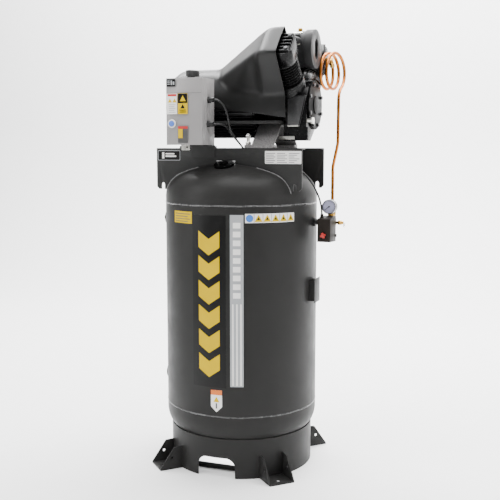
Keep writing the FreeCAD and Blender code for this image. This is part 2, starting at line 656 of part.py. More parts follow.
# ---- pressure switch group ----
def switch_group():
    tank_side = rod(TANK_R, V(0, 0, 900), V(0, 0, 1050))
    shape = rod(10.65, V(290, 0, PORT_Z), V(331, 0, PORT_Z))
    shape = shape.fuse(rod(17, V(290, 0, PORT_Z), V(315, 0, PORT_Z)))
    shape = shape.cut(tank_side)
    shape = shape.fuse(box(330, 392, -10, 14, PORT_Z - 15, PORT_Z + 15))
    shape = shape.fuse(rod(5.5, V(337, 4, PORT_Z + 15), V(337, 4, PORT_Z + 32)))
    save("switch_manifold", shape.removeSplitter())
    base_plate = box(341, 397, -22, -10, 912, 1010)
    base_plate = base_plate.fuse(rod(6, V(397, -16, 934), V(401, -16, 934)))
    save("switch_base", base_plate)
    knob_at = V(368, -86, 940)
    outer = tapered(341, 397, 912, 1010, 343.5, 394, 914, 1002, -22, -86)
    inner = tapered(343.5, 394.5, 914.5, 1007.5, 346, 391.5, 916.5, 999.5, -21.9, -83)
    cover = outer.cut(inner)
    cover = cover.cut(rod(4, knob_at - V(0, 5, 0), knob_at + V(0, 30, 0)))
    gland = V(354, -60, 1000)
    cover = cover.fuse(rod(6.5, gland, gland + V(0, 0, 18)).cut(inner))
    save("switch_cover", cover)
    knob = rod(7, knob_at - V(0, 12, 0), knob_at - V(0, 0.5, 0))
    for k in range(4):
        a = math.radians(90 * k + 20)
        lobe = knob_at + V(7.5 * math.cos(a), 0, 7.5 * math.sin(a))
        knob = knob.fuse(rod(5, lobe - V(0, 12, 0), lobe - V(0, 0.5, 0)))
    knob = knob.fuse(rod(4 - RUN_GAP, knob_at - V(0, 1, 0), knob_at + V(0, 14, 0)))
    save("switch_knob", knob.removeSplitter())


def tapered(x0, x1, z0, z1, fx0, fx1, fz0, fz1, back, front):
    """Box that narrows from its back rectangle to its front rectangle."""
    rear = Part.makePolygon([V(x0, back, z0), V(x1, back, z0), V(x1, back, z1), V(x0, back, z1),
                             V(x0, back, z0)])
    face = Part.makePolygon([V(fx0, front, fz0), V(fx1, front, fz0), V(fx1, front, fz1), V(fx0, front, fz1),
                             V(fx0, front, fz0)])
    return Part.makeLoft([rear, face], True, True)


GAUGE = V(373, -17, 1046)
GAUGE_R = 27.5


def gauge():
    back = GAUGE + V(0, 15, 0)
    front = GAUGE - V(0, 15, 0)
    body = rod(GAUGE_R, front, back).cut(rod(GAUGE_R - 2.5, front, front + V(0, 6, 0)))
    stem = V(373, -3, PORT_Z + 15)
    body = body.fuse(rod(5.5, stem, stem + V(0, 0, 24)))
    body = body.fuse(hexagon(12, stem + V(0, 0, 3), stem + V(0, 0, 13)))
    body = body.fuse(rod(1.5, front + V(0, 3.2, 0), front + V(0, 7, 0)))
    save("gauge_body", body)
    save("gauge_lens", rod(GAUGE_R - 2.6, front, front + V(0, 2, 0)))
    pivot = front + V(0, 4, 0)
    needle = box(-6, 21, -0.5, 0.5, -1, 1).fuse(rod(3, V(0, -0.5, 0), V(0, 0.5, 0)))
    needle = needle.cut(rod(1.5 + RUN_GAP, V(0, -2, 0), V(0, 2, 0)))
    needle.rotate(V(0, 0, 0), V(0, 1, 0), 180 - 38)
    needle.translate(pivot)
    save("gauge_needle", needle)


def safety_valve():
    def at(x):
        return V(x, 2, PORT_Z)

    body = rod(5.5, at(392), at(405)).fuse(hexagon(16, at(403), at(417))).fuse(rod(6, at(417), at(424)))
    body = body.cut(rod(1.5 + RUN_GAP, at(411), at(425)))
    save("safety_valve", body)
    ring_centre = at(427) - V(0, 0, 8.5)
    ring = Part.makeTorus(8.5, 1.2, ring_centre, V(1, 0, 0))
    stem = rod(1.5, at(412), at(428))
    save("safety_ring", stem.fuse(ring))


# ---- starter ----
BUTTON = V(BOX_X0 + 24, BOX_Y0, 1363)


def starter():
    mid_y = BOX_Y0 + 30
    back = box(BOX_X0, BOX_X1, mid_y, BOX_Y1, BOX_Z0, BOX_Z1)
    back = back.cut(box(BOX_X0 + 2, BOX_X1 - 2, mid_y - 1, BOX_Y1 - 2, BOX_Z0 + 2, BOX_Z1 - 2))
    for x, y, z in glands():
        back = back.cut(rod(CABLE_R, V(BOX_X1 - 5, y, z), V(BOX_X1 + 5, y, z)))
    save("starter_box", back)
    cover = box(BOX_X0, BOX_X1, BOX_Y0, mid_y, BOX_Z0, BOX_Z1)
    cover = cover.cut(box(BOX_X0 + 2, BOX_X1 - 2, BOX_Y0 + 2, mid_y + 1, BOX_Z0 + 2, BOX_Z1 - 2))
    bezel = BUTTON - V(0, 3, 0)
    cover = cover.fuse(rod(8.5, bezel, bezel + V(0, 3.5, 0)))
    save("starter_cover", cover.cut(rod(6.6, bezel - V(0, 1, 0), bezel + V(0, 10, 0))))
    button = rod(6.5, BUTTON - V(0, 6, 0), BUTTON + V(0, 8, 0))
    save("reset_button", button)
    parts = []
    for x, y, z in glands():
        nut = hexagon(24, V(BOX_X1, y, z), V(BOX_X1 + 8, y, z)).fuse(rod(10, V(BOX_X1 + 8, y, z), V(x, y, z)))
        parts.append(nut.cut(rod(CABLE_R, V(BOX_X1 - 1, y, z), V(x + 1, y, z))))
    top = V(BOX_X0 + 77, BOX_Y0 + 60, BOX_Z1)
    plug = rod(16, top, top + V(0, 0, 10)).fuse(rod(20, top + V(0, 0, 10), top + V(0, 0, 32)))
    save("box_glands", Part.makeCompound(parts + [plug]))


def glands():
    """Outer end of each cable gland on the right side of the starter box."""
    return ((BOX_X1 + 24, BOX_Y0 + 60, 1452.0), (BOX_X1 + 24, BOX_Y0 + 53, 1362.0))


def cables():
    (x1, y1, z1), (x2, y2, z2) = glands()
    control = [V(BOX_X1 - 20, y1, z1), V(x1 + 13, y1, z1), V(13, -224, 1434), V(21, -204, 1399),
               V(18, -178, 1352), V(25, -158, 1321), V(39, -126, 1292), V(48, -106, 1270),
               V(72, -96, 1248), V(108, -98, 1238), V(150, -104, 1232), V(192, -96, 1226),
               V(232, -82, 1212), V(267, -70, 1190), V(296, -64, 1163), V(322, -62, 1127),
               V(341, -61, 1088), V(352, -60, 1050), V(354, -60, 1018)]
    save("control_cable", round_bar(control, CABLE_R, widest, "control cable"))
    power = [V(BOX_X1 - 20, y2, z2), V(x2 + 20, y2, z2), V(12, -200, 1356), V(7, -150, 1337),
             V(17, -124, 1313), V(32, -104, 1290), V(43, -86, 1266), V(55, -66, 1250), V(68, -44, 1247),
             V(71, -26, 1260), V(70, -20, 1282), V(70, -20, SHAFT_Z - MOTOR_R - 12)]
    save("motor_cable", round_bar(power, CABLE_R, widest, "motor cable"))


# ---- drain ----
def drain():
    body = rod(11, V(0, 0, 34), V(0, 0, LOW_TANGENT - HEAD_DEPTH)).fuse(hexagon(26, V(0, 0, 40), V(0, 0, 50)))
    save("drain_valve", body.cut(rod(4 + RUN_GAP, V(0, 0, 30), V(0, 0, 44))))
    wing = rod(4, V(0, 0, 20), V(0, 0, 43)).fuse(box(-17, 17, -2.5, 2.5, 16, 30))
    save("drain_handle", wing)


# ---- fasteners ----
def fasteners():
    parts = []
    head_bolt = hexagon(13, V(0, 0, HEAD_TOP + 9), V(0, 0, HEAD_TOP + 14))
    for front in (True, False):
        for x, q in HEAD_BOLTS:
            bolt = head_bolt.copy()
            bolt.translate(V(x, q, 0))
            parts.append(tilted(bolt, front))
    for k in range(8):
        a = math.radians(45 * k + 22.5)
        at = V(CASE_X1 + 8, 82 * math.cos(a), SHAFT_Z + 82 * math.sin(a))
        parts.append(hexagon(13, at, at + V(6, 0, 0)))
    for side in (-1, 1):
        at = V(80, side * 135, PAD_TOP)
        parts.append(hexagon(19, at, at + V(0, 0, 11)).fuse(rod(6, at + V(0, 0, 11), at + V(0, 0, 42))))
    save("fasteners", Part.makeCompound(parts))


tank()
base()
feet()
ports()
frame()
supports()
motor()
rotor()
fan()
shroud()
crankcase()
cylinders()
intake()
fittings(discharge_line())
switch_group()
gauge()
safety_valve()
starter()
cables()
drain()
fasteners()
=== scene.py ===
import json
import math

import bmesh
import bpy
from mathutils import Matrix, Vector


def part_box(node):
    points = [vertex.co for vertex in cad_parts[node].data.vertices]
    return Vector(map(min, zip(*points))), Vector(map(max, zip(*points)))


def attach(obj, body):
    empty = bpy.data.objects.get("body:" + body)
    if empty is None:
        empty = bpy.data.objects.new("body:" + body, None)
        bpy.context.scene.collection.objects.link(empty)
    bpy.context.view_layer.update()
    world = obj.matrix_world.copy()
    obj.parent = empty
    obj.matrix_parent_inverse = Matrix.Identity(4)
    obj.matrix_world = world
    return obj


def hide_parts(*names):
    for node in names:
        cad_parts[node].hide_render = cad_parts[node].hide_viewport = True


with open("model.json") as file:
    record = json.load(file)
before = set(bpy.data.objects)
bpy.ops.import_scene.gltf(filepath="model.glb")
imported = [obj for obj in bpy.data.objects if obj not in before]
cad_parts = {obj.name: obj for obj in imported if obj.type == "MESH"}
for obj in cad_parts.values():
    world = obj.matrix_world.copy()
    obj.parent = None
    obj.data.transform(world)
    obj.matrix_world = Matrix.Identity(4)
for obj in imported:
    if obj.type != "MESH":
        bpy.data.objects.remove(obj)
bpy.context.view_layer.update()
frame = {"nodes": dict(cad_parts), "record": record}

# A vertical air compressor, in metres and in the CAD model's frame.
# The tank's axis is Z, the shaft runs along X and -Y is the front.
RECORD = frame["record"]
SLOT_OF = {part["node"]: part["material_slot"] for part in RECORD["subparts"]}
BODY_OF = {node: body for body, nodes in RECORD["behaviour"]["bodies"].items() for node in nodes}
ROOT = "stand"
MM = 0.001


# ---- sizes taken from the frame ----
shell_low, shell_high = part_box("tank_shell")
TANK_R = shell_high.x
SEAM_LOW = shell_low.z
SEAM_HIGH = shell_high.z
SHAFT_Z = (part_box("cooling_fan")[0].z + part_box("cooling_fan")[1].z) / 2
SHROUD_LOW, SHROUD_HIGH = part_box("shroud")
PLATE_FRONT_Y = -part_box("frame_plate_rear")[1].y
BOX_LOW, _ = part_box("starter_cover")
_, BOX_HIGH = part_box("starter_box")

# ---- how far printed films stand off what they are stuck to ----
GROUND = 0.0003
PRINT = 0.0007
OVERPRINT = 0.0011
BOX_GROUND = 0.0004
BOX_PRINT = 0.0008
BOX_OVERPRINT = 0.0012
FILM_THICKNESS = 0.00025


# ---- material helpers ----
class Nodes:
    """A material's node tree with short names for what every finish here needs."""

    def __init__(self, name):
        self.material = bpy.data.materials.new(name)
        self.material.use_nodes = True
        self.tree = self.material.node_tree
        self.shader = self.tree.nodes["Principled BSDF"]
        self.place = self.add("ShaderNodeTexCoord").outputs["Object"]

    def add(self, kind, **values):
        node = self.tree.nodes.new(kind)
        for key, value in values.items():
            setattr(node, key, value)
        return node

    def join(self, source, target):
        self.tree.links.new(source, target)

    def noise(self, scale, detail=3.0, roughness=0.5):
        node = self.add("ShaderNodeTexNoise")
        node.inputs["Scale"].default_value = scale
        node.inputs["Detail"].default_value = detail
        node.inputs["Roughness"].default_value = roughness
        self.join(self.place, node.inputs["Vector"])
        return node.outputs["Fac"]

    def ramp(self, source, stops):
        node = self.add("ShaderNodeValToRGB")
        elements = node.color_ramp.elements
        while len(elements) < len(stops):
            elements.new(0.5)
        for element, (position, colour) in zip(elements, stops):
            element.position = position
            element.color = (*colour, 1.0)
        self.join(source, node.inputs["Fac"])
        return node.outputs["Color"]

    def spread(self, source, low, high):
        node = self.add("ShaderNodeMapRange")
        node.inputs["From Min"].default_value = 0.3
        node.inputs["From Max"].default_value = 0.7
        node.inputs["To Min"].default_value = low
        node.inputs["To Max"].default_value = high
        self.join(source, node.inputs["Value"])
        return node.outputs["Result"]

    def bump(self, height, strength, distance):
        node = self.add("ShaderNodeBump")
        node.inputs["Strength"].default_value = strength
        node.inputs["Distance"].default_value = distance
        self.join(height, node.inputs["Height"])
        if self.shader.inputs["Normal"].is_linked:
            self.join(self.shader.inputs["Normal"].links[0].from_socket, node.inputs["Normal"])
        self.join(node.outputs["Normal"], self.shader.inputs["Normal"])


def shade(colour, factor):
    return tuple(min(1.0, channel * factor) for channel in colour)


def finish_of(name, colour, rough, metallic=0.0, vary=0.12, mottle=14.0, grain=900.0, depth=0.00012,
              strength=0.25, rough_vary=0.06, coat=0.0, specular=0.5, ior=1.5):
    """A finish whose colour and gloss drift slowly, with a fine grain in its surface."""
    nodes = Nodes(name)
    patches = nodes.noise(mottle, 4.0, 0.55)
    stops = ((0.25, shade(colour, 1 - vary)), (0.55, colour), (0.8, shade(colour, 1 + vary)))
    nodes.join(nodes.ramp(patches, stops), nodes.shader.inputs["Base Color"])
    nodes.join(nodes.spread(nodes.noise(mottle * 2.7), rough - rough_vary, rough + rough_vary),
               nodes.shader.inputs["Roughness"])
    nodes.bump(nodes.noise(grain, 2.0), strength, depth)
    nodes.shader.inputs["Metallic"].default_value = metallic
    nodes.shader.inputs["Coat Weight"].default_value = coat
    nodes.shader.inputs["Coat Roughness"].default_value = 0.12
    nodes.shader.inputs["Specular IOR Level"].default_value = specular
    nodes.shader.inputs["IOR"].default_value = ior
    return nodes.material


def brushed(name, colour, rough, lines=2200.0, metallic=1.0):
    """Machined metal: fine lines that run round the piece, over slow changes in colour."""
    nodes = Nodes(name)
    stretch = nodes.add("ShaderNodeMapping")
    stretch.inputs["Scale"].default_value = (1.0, 1.0, 9.0)
    nodes.join(nodes.place, stretch.inputs["Vector"])
    fine = nodes.noise(lines / 9, 2.0)
    nodes.join(stretch.outputs["Vector"], fine.node.inputs["Vector"])
    patches = nodes.noise(35.0)
    nodes.join(nodes.ramp(patches, ((0.3, shade(colour, 0.82)), (0.7, shade(colour, 1.08)))),
               nodes.shader.inputs["Base Color"])
    nodes.join(nodes.spread(patches, rough - 0.07, rough + 0.08), nodes.shader.inputs["Roughness"])
    nodes.bump(fine, 0.2, 0.00006)
    nodes.shader.inputs["Metallic"].default_value = metallic
    return nodes.material


def copper():
    """Drawn copper tube: warm, half bright, with darker oxide in streaks."""
    nodes = Nodes("copper")
    patches = nodes.noise(22.0, 5.0, 0.6)
    stops = ((0.28, (0.14, 0.035, 0.004)), (0.5, (0.42, 0.125, 0.018)), (0.75, (0.64, 0.24, 0.055)))
    nodes.join(nodes.ramp(patches, stops), nodes.shader.inputs["Base Color"])
    nodes.join(nodes.spread(nodes.noise(60.0), 0.22, 0.40), nodes.shader.inputs["Roughness"])
    nodes.bump(nodes.noise(500.0), 0.15, 0.0001)
    nodes.shader.inputs["Metallic"].default_value = 1.0
    return nodes.material


def textured(name, colour, rough=0.5, scale=260.0):
    """Coarse wrinkle paint, with pale glints on the raised grains."""
    nodes = Nodes(name)
    cells = nodes.add("ShaderNodeTexVoronoi")
    cells.inputs["Scale"].default_value = scale
    nodes.join(nodes.place, cells.inputs["Vector"])
    grains = nodes.noise(scale * 1.6, 3.0, 0.6)
    stops = ((0.40, shade(colour, 0.55)), (0.55, colour), (0.70, shade(colour, 1.9)))
    nodes.join(nodes.ramp(grains, stops), nodes.shader.inputs["Base Color"])
    nodes.join(nodes.spread(grains, rough + 0.1, rough - 0.12), nodes.shader.inputs["Roughness"])
    nodes.bump(cells.outputs["Distance"], 0.5, 0.0009)
    nodes.bump(grains, 0.6, 0.0008)
    return nodes.material


def glass():
    nodes = Nodes("gauge_glass")
    nodes.join(nodes.spread(nodes.noise(30.0), 0.02, 0.06), nodes.shader.inputs["Roughness"])
    nodes.bump(nodes.noise(40.0), 0.04, 0.0002)
    nodes.shader.inputs["Base Color"].default_value = (0.93, 0.95, 1.0, 1.0)
    nodes.shader.inputs["Transmission Weight"].default_value = 1.0
    nodes.shader.inputs["Alpha"].default_value = 0.06
    nodes.shader.inputs["IOR"].default_value = 1.1
    return nodes.material


# Finishes of the record's material slots, then those of extra pieces.
MATERIALS = {
    "tank_paint": finish_of("tank_paint", (0.0185, 0.0183, 0.0178), 0.42, vary=0.08, mottle=5.0, grain=420.0,
                            depth=0.0002, specular=0.5, ior=1.2),
    "frame_paint": finish_of("frame_paint", (0.0270, 0.0270, 0.0266), 0.42, grain=420.0, depth=0.0002,
                             specular=0.5, ior=1.2),
    "textured_paint": textured("textured_paint", (0.14, 0.135, 0.135)),
    "motor_paint": finish_of("motor_paint", (0.004, 0.004, 0.0045), 0.38, strength=0.3, depth=0.0003,
                             specular=0.3),
    "pump_paint": finish_of("pump_paint", (0.0025, 0.0025, 0.0027), 0.24, vary=0.10, grain=260.0,
                            depth=0.0002, strength=0.22, mottle=30.0, specular=0.5, ior=1.25),
    "cover_paint": finish_of("cover_paint", (0.016, 0.016, 0.016), 0.55, vary=0.06, grain=600.0, strength=0.3,
                             depth=0.0002, specular=0.4, ior=1.2),
    "cast_iron": finish_of("cast_iron", (0.0022, 0.0022, 0.0022), 0.26, vary=0.10, grain=260.0, depth=0.0002,
                           strength=0.25, mottle=40.0, specular=0.5, ior=1.22),
    "shroud_plastic": finish_of("shroud_plastic", (0.0055, 0.0055, 0.0055), 0.34, vary=0.03, grain=900.0,
                                depth=0.00005, strength=0.15, rough_vary=0.02, specular=0.26),
    "fan_plastic": finish_of("fan_plastic", (0.02, 0.02, 0.02), 0.5),
    "shaft_steel": brushed("shaft_steel", (0.55, 0.55, 0.56), 0.3),
    "aluminium": brushed("aluminium", (0.66, 0.67, 0.68), 0.34),
    "filter_plastic": finish_of("filter_plastic", (0.020, 0.020, 0.0205), 0.42, vary=0.05, grain=900.0,
                                strength=0.1, specular=0.5, ior=1.22),
    "filter_paper": finish_of("filter_paper", (0.012, 0.012, 0.012), 0.85, grain=300.0, strength=0.5),
    "copper": copper(),
    "brass": brushed("brass", (0.52, 0.30, 0.07), 0.26),
    "pipe_black": finish_of("pipe_black", (0.006, 0.006, 0.006), 0.42, grain=500.0, depth=0.0004,
                            strength=0.5, specular=0.35),
    "switch_plastic": finish_of("switch_plastic", (0.0165, 0.0135, 0.0115), 0.50, grain=700.0, strength=0.3,
                                specular=0.4, ior=1.2),
    "knob_red": finish_of("knob_red", (0.42, 0.020, 0.016), 0.36, vary=0.08),
    "gauge_case": finish_of("gauge_case", (0.06, 0.06, 0.065), 0.35),
    "gauge_glass": glass(),
    "needle_black": finish_of("needle_black", (0.012, 0.012, 0.012), 0.4),
    "ring_steel": brushed("ring_steel", (0.62, 0.62, 0.62), 0.25),
    "box_paint": finish_of("box_paint", (0.23, 0.222, 0.220), 0.40, vary=0.05, grain=480.0, depth=0.0003,
                           strength=0.3, mottle=6.0, specular=0.4),
    "button_blue": finish_of("button_blue", (0.08, 0.17, 0.55), 0.3, vary=0.08),
    "gland_plastic": finish_of("gland_plastic", (0.014, 0.014, 0.014), 0.40, specular=0.35),
    "cable_rubber": finish_of("cable_rubber", (0.016, 0.016, 0.016), 0.45, grain=800.0, specular=0.3),
    "bolt_steel": brushed("bolt_steel", (0.06, 0.06, 0.062), 0.34),
}
EXTRA = {
    "cover_grain": textured("cover_grain", (0.034, 0.034, 0.035), 0.36, 210.0),
    "end_black": finish_of("end_black", (0.0020, 0.0020, 0.0020), 0.36, vary=0.10, grain=260.0, depth=0.0002,
                           mottle=30.0, specular=0.3, ior=1.12),
    "dial_face": finish_of("dial_face", (0.47, 0.47, 0.64), 0.35, vary=0.05),
    "bezel_white": finish_of("bezel_white", (0.78, 0.76, 0.72), 0.4, vary=0.05),
    "bright_zinc": brushed("bright_zinc", (0.72, 0.71, 0.66), 0.28),
    "film_black": finish_of("film_black", (0.0022, 0.0022, 0.0022), 0.34, vary=0.1, strength=0.1,
                            specular=0.2),
    "film_yellow": finish_of("film_yellow", (0.54, 0.368, 0.0), 0.46, vary=0.05, strength=0.1, specular=0.1,
                             ior=1.2),
    "film_silver": finish_of("film_silver", (0.30, 0.31, 0.32), 0.34, vary=0.06, strength=0.1),
    "film_white": finish_of("film_white", (0.74, 0.73, 0.71), 0.40, vary=0.04, strength=0.1),
    "film_red": finish_of("film_red", (0.42, 0.012, 0.012), 0.38, vary=0.06, strength=0.1),
    "film_blue": finish_of("film_blue", (0.03, 0.15, 0.50), 0.38, vary=0.06, strength=0.1),
    "film_orange": finish_of("film_orange", (0.62, 0.13, 0.0), 0.38, vary=0.06, strength=0.1),
    "film_grey": finish_of("film_grey", (0.05, 0.05, 0.05), 0.42, vary=0.08, strength=0.1),
    # A lighter copy of the weld finish, used only on the arch welds: a painted highlight.
    "weld_painted_highlight": finish_of("weld_painted_highlight", (0.13, 0.13, 0.13), 0.28, vary=0.3, mottle=60.0, strength=0.4),
    "weld": finish_of("weld", (0.045, 0.045, 0.045), 0.28, vary=0.2, grain=240.0, depth=0.0006, strength=0.4),
}


# ---- mesh helpers ----
def add_piece(name, mesh, material, body=ROOT, smooth_angle=35):
    """Link a new piece, give it its material and let it ride on a body."""
    piece = bpy.data.objects.new(name, mesh)
    bpy.context.scene.collection.objects.link(piece)
    mesh.materials.clear()
    mesh.materials.append(material)
    mesh.shade_smooth()
    mark_sharp(mesh, math.radians(smooth_angle))
    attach(piece, body)
    return piece


def bridge(bm, rings, closed=False, capped=False):
    """Skin between neighbouring rings of points, with a face on each end if capped."""
    pairs = list(zip(rings, rings[1:]))
    if closed:
        pairs.append((rings[-1], rings[0]))
    count = len(rings[0])
    for low, high in pairs:
        for k in range(count):
            bm.faces.new((low[k], low[(k + 1) % count], high[(k + 1) % count], high[k]))
    if capped:
        bm.faces.new(rings[0])
        bm.faces.new(rings[-1])


def mark_sharp(mesh, angle):
    """Shade edges sharper than an angle, or open, as hard ones."""
    bm = bmesh.new()
    bm.from_mesh(mesh)
    for edge in bm.edges:
        edge.smooth = len(edge.link_faces) == 2 and edge.calc_face_angle(0.0) < angle
    bm.to_mesh(mesh)
    bm.free()


def slice_at(bm, point, normal, drop_outer=False):
    """Cut every face along a plane, and throw away what lies past it if asked."""
    geometry = bm.verts[:] + bm.edges[:] + bm.faces[:]
    bmesh.ops.bisect_plane(bm, geom=geometry, plane_co=point, plane_no=normal, clear_outer=drop_outer)


def thicken(bm, offset):
    """Give flat faces a second side at an offset, and walls along their open edges."""
    fronts = bm.faces[:]
    rim = [edge for edge in bm.edges if edge.is_boundary]
    twin = {vert: bm.verts.new(vert.co + Vector(offset)) for vert in bm.verts[:]}
    for face in fronts:
        bm.faces.new([twin[vert] for vert in reversed(face.verts)])
    for edge in rim:
        a, b = edge.verts
        bm.faces.new((a, b, twin[b], twin[a]))


def evaluated(piece):
    """The mesh a piece has once its modifiers are applied."""
    bpy.context.view_layer.update()
    return bpy.data.meshes.new_from_object(piece.evaluated_get(bpy.context.evaluated_depsgraph_get()))


def mesh_of(name, bm):
    mesh = bpy.data.meshes.new(name)
    bmesh.ops.recalc_face_normals(bm, faces=bm.faces)
    bm.to_mesh(mesh)
    bm.free()
    return mesh


WELD_DISTANCE = 0.00002
FLAT_ANGLE = math.radians(1.0)
ROLL_ANGLE = math.radians(32)
SMOOTH_ANGLE = math.radians(38)


def soften(node, width, segments=2, material=None):
    """A copy of a CAD piece with rolled edges, as castings, bent sheet and mouldings have."""
    mesh = frame["nodes"][node].data.copy()
    bm = bmesh.new()
    bm.from_mesh(mesh)
    bmesh.ops.remove_doubles(bm, verts=bm.verts, dist=WELD_DISTANCE)
    bmesh.ops.dissolve_limit(bm, angle_limit=FLAT_ANGLE, verts=bm.verts, edges=bm.edges)
    bm.to_mesh(mesh)
    bm.free()
    slot = SLOT_OF[node]
    piece = bpy.data.objects.new(node + "_finished", mesh)
    bpy.context.scene.collection.objects.link(piece)
    mesh.materials.clear()
    mesh.materials.append(material or MATERIALS[slot])
    roll = piece.modifiers.new("roll", "BEVEL")
    roll.width = width
    roll.segments = segments
    roll.limit_method = "ANGLE"
    roll.angle_limit = ROLL_ANGLE
    roll.miter_outer = "MITER_ARC"
    roll.harden_normals = False
    rounded = evaluated(piece)
    piece.modifiers.clear()
    piece.data = rounded
    rounded.shade_smooth()
    mark_sharp(rounded, SMOOTH_ANGLE)
    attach(piece, BODY_OF[node])
    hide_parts(node)
    return piece


def lathe(name, profile, origin, axis, material, segments=64, body=ROOT, closed=False):
    """Turn (along, radius) points about an axis through origin."""
    bm = bmesh.new()
    turn = Vector(axis).to_track_quat("Z", "Y").to_matrix()
    rings = []
    for along, radius in profile:
        ring = []
        for k in range(segments):
            a = 2 * math.pi * k / segments
            local = Vector((radius * math.cos(a), radius * math.sin(a), along))
            ring.append(bm.verts.new(Vector(origin) + turn @ local))
        rings.append(ring)
    bridge(bm, rings, closed, capped=not closed)
    bmesh.ops.remove_doubles(bm, verts=bm.verts, dist=1e-6)
    return add_piece(name, mesh_of(name, bm), material, body)


def film(name, outlines, surface, material, lift=BOX_GROUND, step=0.012, body=ROOT):
    """Thin printed film: flat outlines in metres, cut into strips and laid on a surface(u, v, lift)."""
    bm = bmesh.new()
    for outline in outlines:
        bm.faces.new([bm.verts.new((u, v, 0)) for u, v in outline])
    low = min(vert.co.x for vert in bm.verts)
    high = max(vert.co.x for vert in bm.verts)
    cut = low + step
    while cut < high:
        slice_at(bm, (cut, 0, 0), (1, 0, 0))
        cut += step
    thicken(bm, (0, 0, FILM_THICKNESS))
    for vert in bm.verts:
        vert.co = surface(vert.co.x, vert.co.y, lift + vert.co.z)
    return add_piece(name, mesh_of(name, bm), material, body)


def rectangle(u0, u1, v0, v1, corner=0.0):
    """An outline between two corners, rounded if a corner radius is given."""
    steps = 4
    if corner <= 0:
        return [(u0, v0), (u1, v0), (u1, v1), (u0, v1)]
    points = []
    for cu, cv, start in ((u1 - corner, v0 + corner, -90), (u1 - corner, v1 - corner, 0),
                          (u0 + corner, v1 - corner, 90), (u0 + corner, v0 + corner, 180)):
        for k in range(steps + 1):
            a = math.radians(start + 90.0 / steps * k)
            points.append((cu + corner * math.cos(a), cv + corner * math.sin(a)))
    return points


def disc(u, v, radius, sides=24):
    return [(u + radius * math.cos(2 * math.pi * k / sides), v + radius * math.sin(2 * math.pi * k / sides))
            for k in range(sides)]


def triangle(u, v, half):
    """An upright triangle about (u, v); half is half the length of its base."""
    return [(u - half, v - half * 0.8), (u + half, v - half * 0.8), (u, v + half * 0.95)]


def on_tank(u, v, lift):
    """u runs round the front of the tank from -Y toward +X, v is the height."""
    a = u / TANK_R - math.pi / 2
    return Vector(((TANK_R + lift) * math.cos(a), (TANK_R + lift) * math.sin(a), v))


def round_tank(angle):
    """Arc length from the front of the tank to an angle counted from +X."""
    return math.radians(angle + 90) * TANK_R


def on_front(y):
    """A surface for films on a plane that faces -Y."""
    return lambda u, v, lift: Vector((u, y - lift, v))


# ---- tank ----
def weld_bead(name, z):
    """A welded seam: a low ridge with the ripple that each pass leaves."""
    segments = 360
    profile_mm = ((-3.2, -0.5), (-2.2, 0.6), (-0.9, 1.2), (0.5, 1.3), (1.9, 0.8), (3.2, -0.5))
    bm = bmesh.new()
    rings = []
    for along, proud in profile_mm:
        ring = []
        for k in range(segments):
            a = 2 * math.pi * k / segments
            ripple = 0.35 * math.sin(a * 90) + 0.3 * math.sin(a * 17 + 1.0)
            height = 0.5 * math.sin(a * 11) + 0.3 * math.sin(a * 29 + 2.0)
            radius = TANK_R + (proud + ripple * 0.5) * MM
            ring.append(bm.verts.new((radius * math.cos(a), radius * math.sin(a), z + (along + height) * MM)))
        rings.append(ring)
    bridge(bm, rings, closed=True)
    add_piece(name, mesh_of(name, bm), EXTRA["weld"])


def tank_films():
    """Everything printed on the shell; angles run round the tank from +X, in degrees."""
    banner()
    stripe()
    warning_strip()
    side_label()
    drain_label()


def banner():
    """A black field with a column of broad chevrons."""
    left, right = round_tank(-106.5), round_tank(-80.2)
    field_low, field_high = 0.365, 1.023
    field = rectangle(left, right, field_low, field_high)
    film("banner_black", [field], on_tank, EXTRA["film_black"], GROUND)
    graphic_left, graphic_right = round_tank(-101.2), round_tank(-84.9)
    middle = (graphic_left + graphic_right) / 2
    chevrons = []
    count, low, high, drop, filled = 6, 0.404, 0.996, 0.030, 0.66
    pitch = (high - low - drop) / count
    for k in range(count):
        foot = low + drop + k * pitch
        top = foot + pitch * filled
        chevrons.append([(graphic_left, foot), (middle, foot - drop), (graphic_right, foot),
                         (graphic_right, top), (middle, top - drop), (graphic_left, top)])
    film("banner_chevrons", chevrons, on_tank, EXTRA["film_yellow"], PRINT)


def stripe():
    """A silver stripe beside the banner, with bars below and blocks above."""
    left, right = round_tank(-77.3), round_tank(-67.8)
    width = right - left
    low, high = 0.371, 1.026
    film("stripe_silver", [rectangle(left, right, low, high)], on_tank, EXTRA["film_silver"], GROUND)
    marks = []
    bars, bar_low, bar_high = 3, 0.376, 0.690
    for k in range(bars):
        u = left + width * (0.16 + 0.30 * k)
        marks.append(rectangle(u, u + width * 0.10, bar_low, bar_high))
    blocks, block_low, pitch, tall, margin = 9, 0.712, 0.033, 0.021, width * 0.22
    for k in range(blocks):
        z = block_low + pitch * k
        marks.append(rectangle(left + margin, right - margin, z, z + tall))
    film("stripe_marks", marks, on_tank, EXTRA["film_white"], PRINT)


def warning_strip():
    """A white strip of six cells: a disc and five triangles, with no lettering."""
    left, right = round_tank(-66.7), round_tank(-28.5)
    low, high = 0.996, 1.030
    film("warning_strip", [rectangle(left, right, low, high)], on_tank, EXTRA["film_white"], GROUND)
    cells = 6
    cell = (right - left) / cells
    film("warning_strip_disc", [disc(left + cell / 2, 1.013, 0.014)], on_tank, EXTRA["film_blue"], PRINT)
    triangles = [triangle(left + cell * (k + 0.5), 1.012, 0.0155) for k in range(1, cells)]
    film("warning_strip_shapes", triangles, on_tank, EXTRA["film_yellow"], PRINT)
    centres = [triangle(left + cell * (k + 0.5), 1.0115, 0.006) for k in range(1, cells)]
    film("warning_strip_centres", centres, on_tank, EXTRA["film_black"], OVERPRINT)
    half_line = 0.0008
    dividers = [rectangle(left + cell * k - half_line, left + cell * k + half_line, 0.997, 1.029)
                for k in range(1, cells)]
    film("warning_strip_lines", dividers, on_tank, EXTRA["film_grey"], PRINT)


